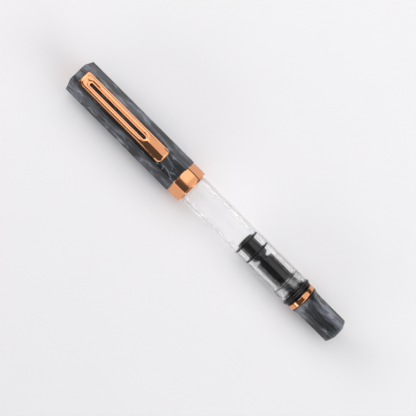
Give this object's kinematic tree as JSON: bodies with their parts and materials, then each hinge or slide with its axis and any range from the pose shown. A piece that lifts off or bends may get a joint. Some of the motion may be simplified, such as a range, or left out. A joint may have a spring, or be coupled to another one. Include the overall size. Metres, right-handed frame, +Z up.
{
  "type": "fountain pen",
  "caption": "Piston-filled fountain pen: hexagonal marbled screw cap with slotted clip, clear barrel, black piston, trim ring and turning knob.",
  "frame": {"origin": "on the surface that the pen lies on, under the middle of the closed pen", "axes": "+X along the pen from the cap's closed end to the knob, +Y across it, +Z up through the clip"},
  "size_m": [0.1396, 0.015, 0.0157],
  "materials": {
    "marbled_resin": "polished slate-grey resin with pearly swirls",
    "rose_gold": "polished rose-gold plating",
    "clear_plastic": "crystal-clear polished plastic",
    "black_plastic": "glossy black moulding",
    "black_rubber": "smooth black elastomer",
    "silicone": "translucent pale silicone",
    "steel": "polished steel",
    "nylon": "natural white nylon"
  },
  "bodies": {
    "barrel": {"barrel": "clear_plastic", "grip_section": "clear_plastic", "section_oring": "black_rubber", "nib_collar": "black_plastic", "nib": "steel", "feed": "black_plastic", "connector": "black_plastic", "connector_oring": "black_rubber", "post_oring": "black_rubber", "knob_ring": "rose_gold"},
    "cap_slide": {"inner_cap_seal": "silicone"},
    "cap_liner": {"inner_cap": "black_plastic"},
    "cap": {"cap_body": "marbled_resin", "cap_band": "rose_gold", "cap_thread_bush": "rose_gold", "finial": "rose_gold"},
    "clip": {"clip": "rose_gold"},
    "piston": {"piston_seal": "black_rubber", "piston_rod": "black_plastic"},
    "knob_rise_carrier": {"thrust_washer": "nylon"},
    "knob": {"knob": "marbled_resin", "spindle": "steel"}
  },
  "joints": [
    {"name": "cap_pull", "type": "slide", "parent": "barrel", "child": "cap_slide", "axis": [-1, 0, 0], "range_m": [0, 0.065]},
    {"name": "cap_lift", "type": "slide", "parent": "cap_slide", "child": "cap_liner", "axis": [-1, 0, 0], "range_m": [0, 0.0025]},
    {"name": "cap_turn", "type": "hinge", "parent": "cap_liner", "child": "cap", "pos_m": [-0.01175, 0, 0.00662], "axis": [-1, 0, 0], "range_deg": [0, 450]},
    {"name": "clip_flex", "type": "hinge", "parent": "cap", "child": "clip", "pos_m": [-0.06425, 0, 0.01262], "axis": [0, -1, 0], "range_deg": [0, 3], "stiffness_Nm_per_rad": 1.5},
    {"name": "knob_rise", "type": "slide", "parent": "barrel", "child": "knob_rise_carrier", "axis": [1, 0, 0], "range_m": [0, 0.0056]},
    {"name": "knob_turn", "type": "hinge", "parent": "knob_rise_carrier", "child": "knob", "pos_m": [0.06025, 0, 0.00662], "axis": [1, 0, 0], "range_deg": [0, 1800]},
    {"name": "piston_stroke", "type": "slide", "parent": "barrel", "child": "piston", "axis": [-1, 0, 0], "range_m": [0, 0.031]}
  ],
  "couplings": [
    {"joint": "cap_turn", "follows": "cap_lift", "rad_per_m": 3141.6},
    {"joint": "knob_turn", "follows": "piston_stroke", "rad_per_m": 1013.4},
    {"joint": "knob_rise", "follows": "piston_stroke", "ratio": 0.1774}
  ]
}
